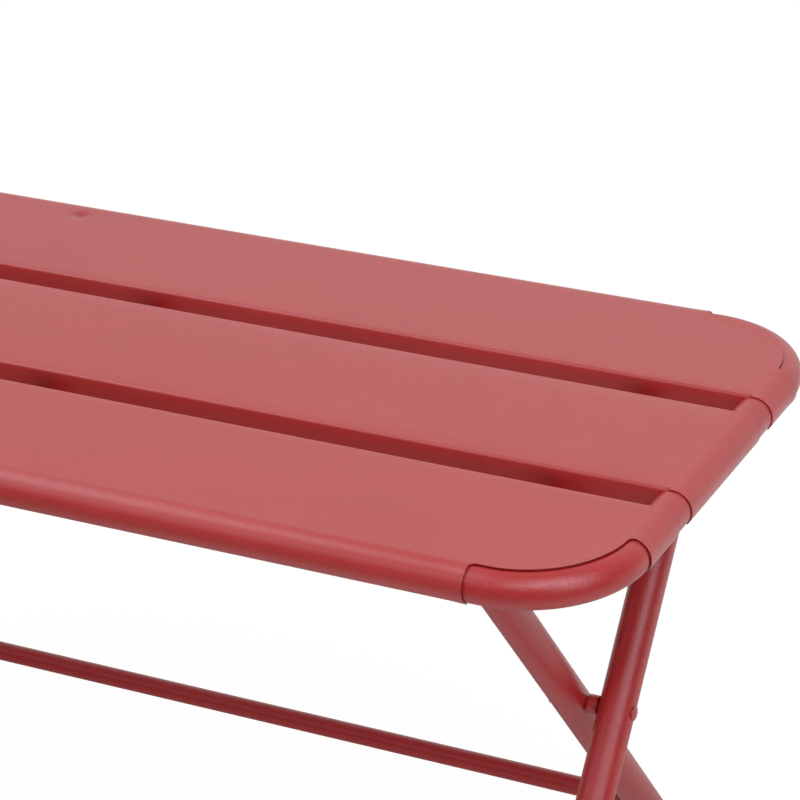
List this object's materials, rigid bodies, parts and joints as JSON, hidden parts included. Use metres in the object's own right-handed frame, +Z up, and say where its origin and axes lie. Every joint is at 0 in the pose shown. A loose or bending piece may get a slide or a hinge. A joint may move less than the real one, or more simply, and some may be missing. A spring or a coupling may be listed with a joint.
{
  "type": "folding picnic table",
  "caption": "Low folding picnic table: sheet-steel slats rolled over a bent tube frame, on crossed tube legs that hinge at the rear and hook in at the front.",
  "frame": {"origin": "on the floor, under the middle of the table top", "axes": "+X along the table to its right end, +Y to the rear, where the top is hinged, +Z up"},
  "size_m": [1.0418, 0.465, 0.5],
  "materials": {
    "frame_paint": "satin red powder coat with fine grain",
    "slat_paint": "satin red powder coat with fine grain",
    "foot_cap": "matte black plastic",
    "washer": "matte off-white plastic"
  },
  "bodies": {
    "outer_legs": {"right_outer_leg": "frame_paint", "left_outer_leg": "frame_paint", "outer_stretcher": "frame_paint", "right_outer_plug": "frame_paint", "left_outer_plug": "frame_paint", "right_outer_foot": "foot_cap", "left_outer_foot": "foot_cap", "right_pivot_rivet": "frame_paint", "left_pivot_rivet": "frame_paint", "right_pivot_spacer": "frame_paint", "left_pivot_spacer": "frame_paint", "right_pivot_washer": "washer", "left_pivot_washer": "washer", "right_hinge_pin": "frame_paint", "left_hinge_pin": "frame_paint", "right_hinge_washer": "washer", "left_hinge_washer": "washer"},
    "top": {"right_frame_tube": "frame_paint", "left_frame_tube": "frame_paint", "front_join_sleeve": "frame_paint", "rear_join_sleeve": "frame_paint", "front_slat": "slat_paint", "middle_slat": "slat_paint", "rear_slat": "slat_paint", "right_rail": "frame_paint", "centre_rail": "frame_paint", "left_rail": "frame_paint", "right_hinge_lug": "frame_paint", "left_hinge_lug": "frame_paint", "right_catch_hook": "frame_paint", "left_catch_hook": "frame_paint"},
    "inner_legs": {"right_inner_leg": "frame_paint", "left_inner_leg": "frame_paint", "inner_stretcher": "frame_paint", "inner_crossbar": "frame_paint", "right_inner_plug": "frame_paint", "left_inner_plug": "frame_paint", "right_inner_foot": "foot_cap", "left_inner_foot": "foot_cap", "right_catch_pin": "frame_paint", "left_catch_pin": "frame_paint"}
  },
  "joints": [
    {"name": "top_fold", "type": "hinge", "parent": "outer_legs", "child": "top", "pos_m": [0, 0.14181, 0.448], "axis": [-1, 0, 0], "range_deg": [0, 128]},
    {"name": "leg_fold", "type": "hinge", "parent": "outer_legs", "child": "inner_legs", "pos_m": [0, 0, 0.26844], "axis": [-1, 0, 0], "range_deg": [0, 70]}
  ],
  "couplings": [
    {"joint": "leg_fold", "follows": "top_fold", "ratio": 0.5468}
  ]
}
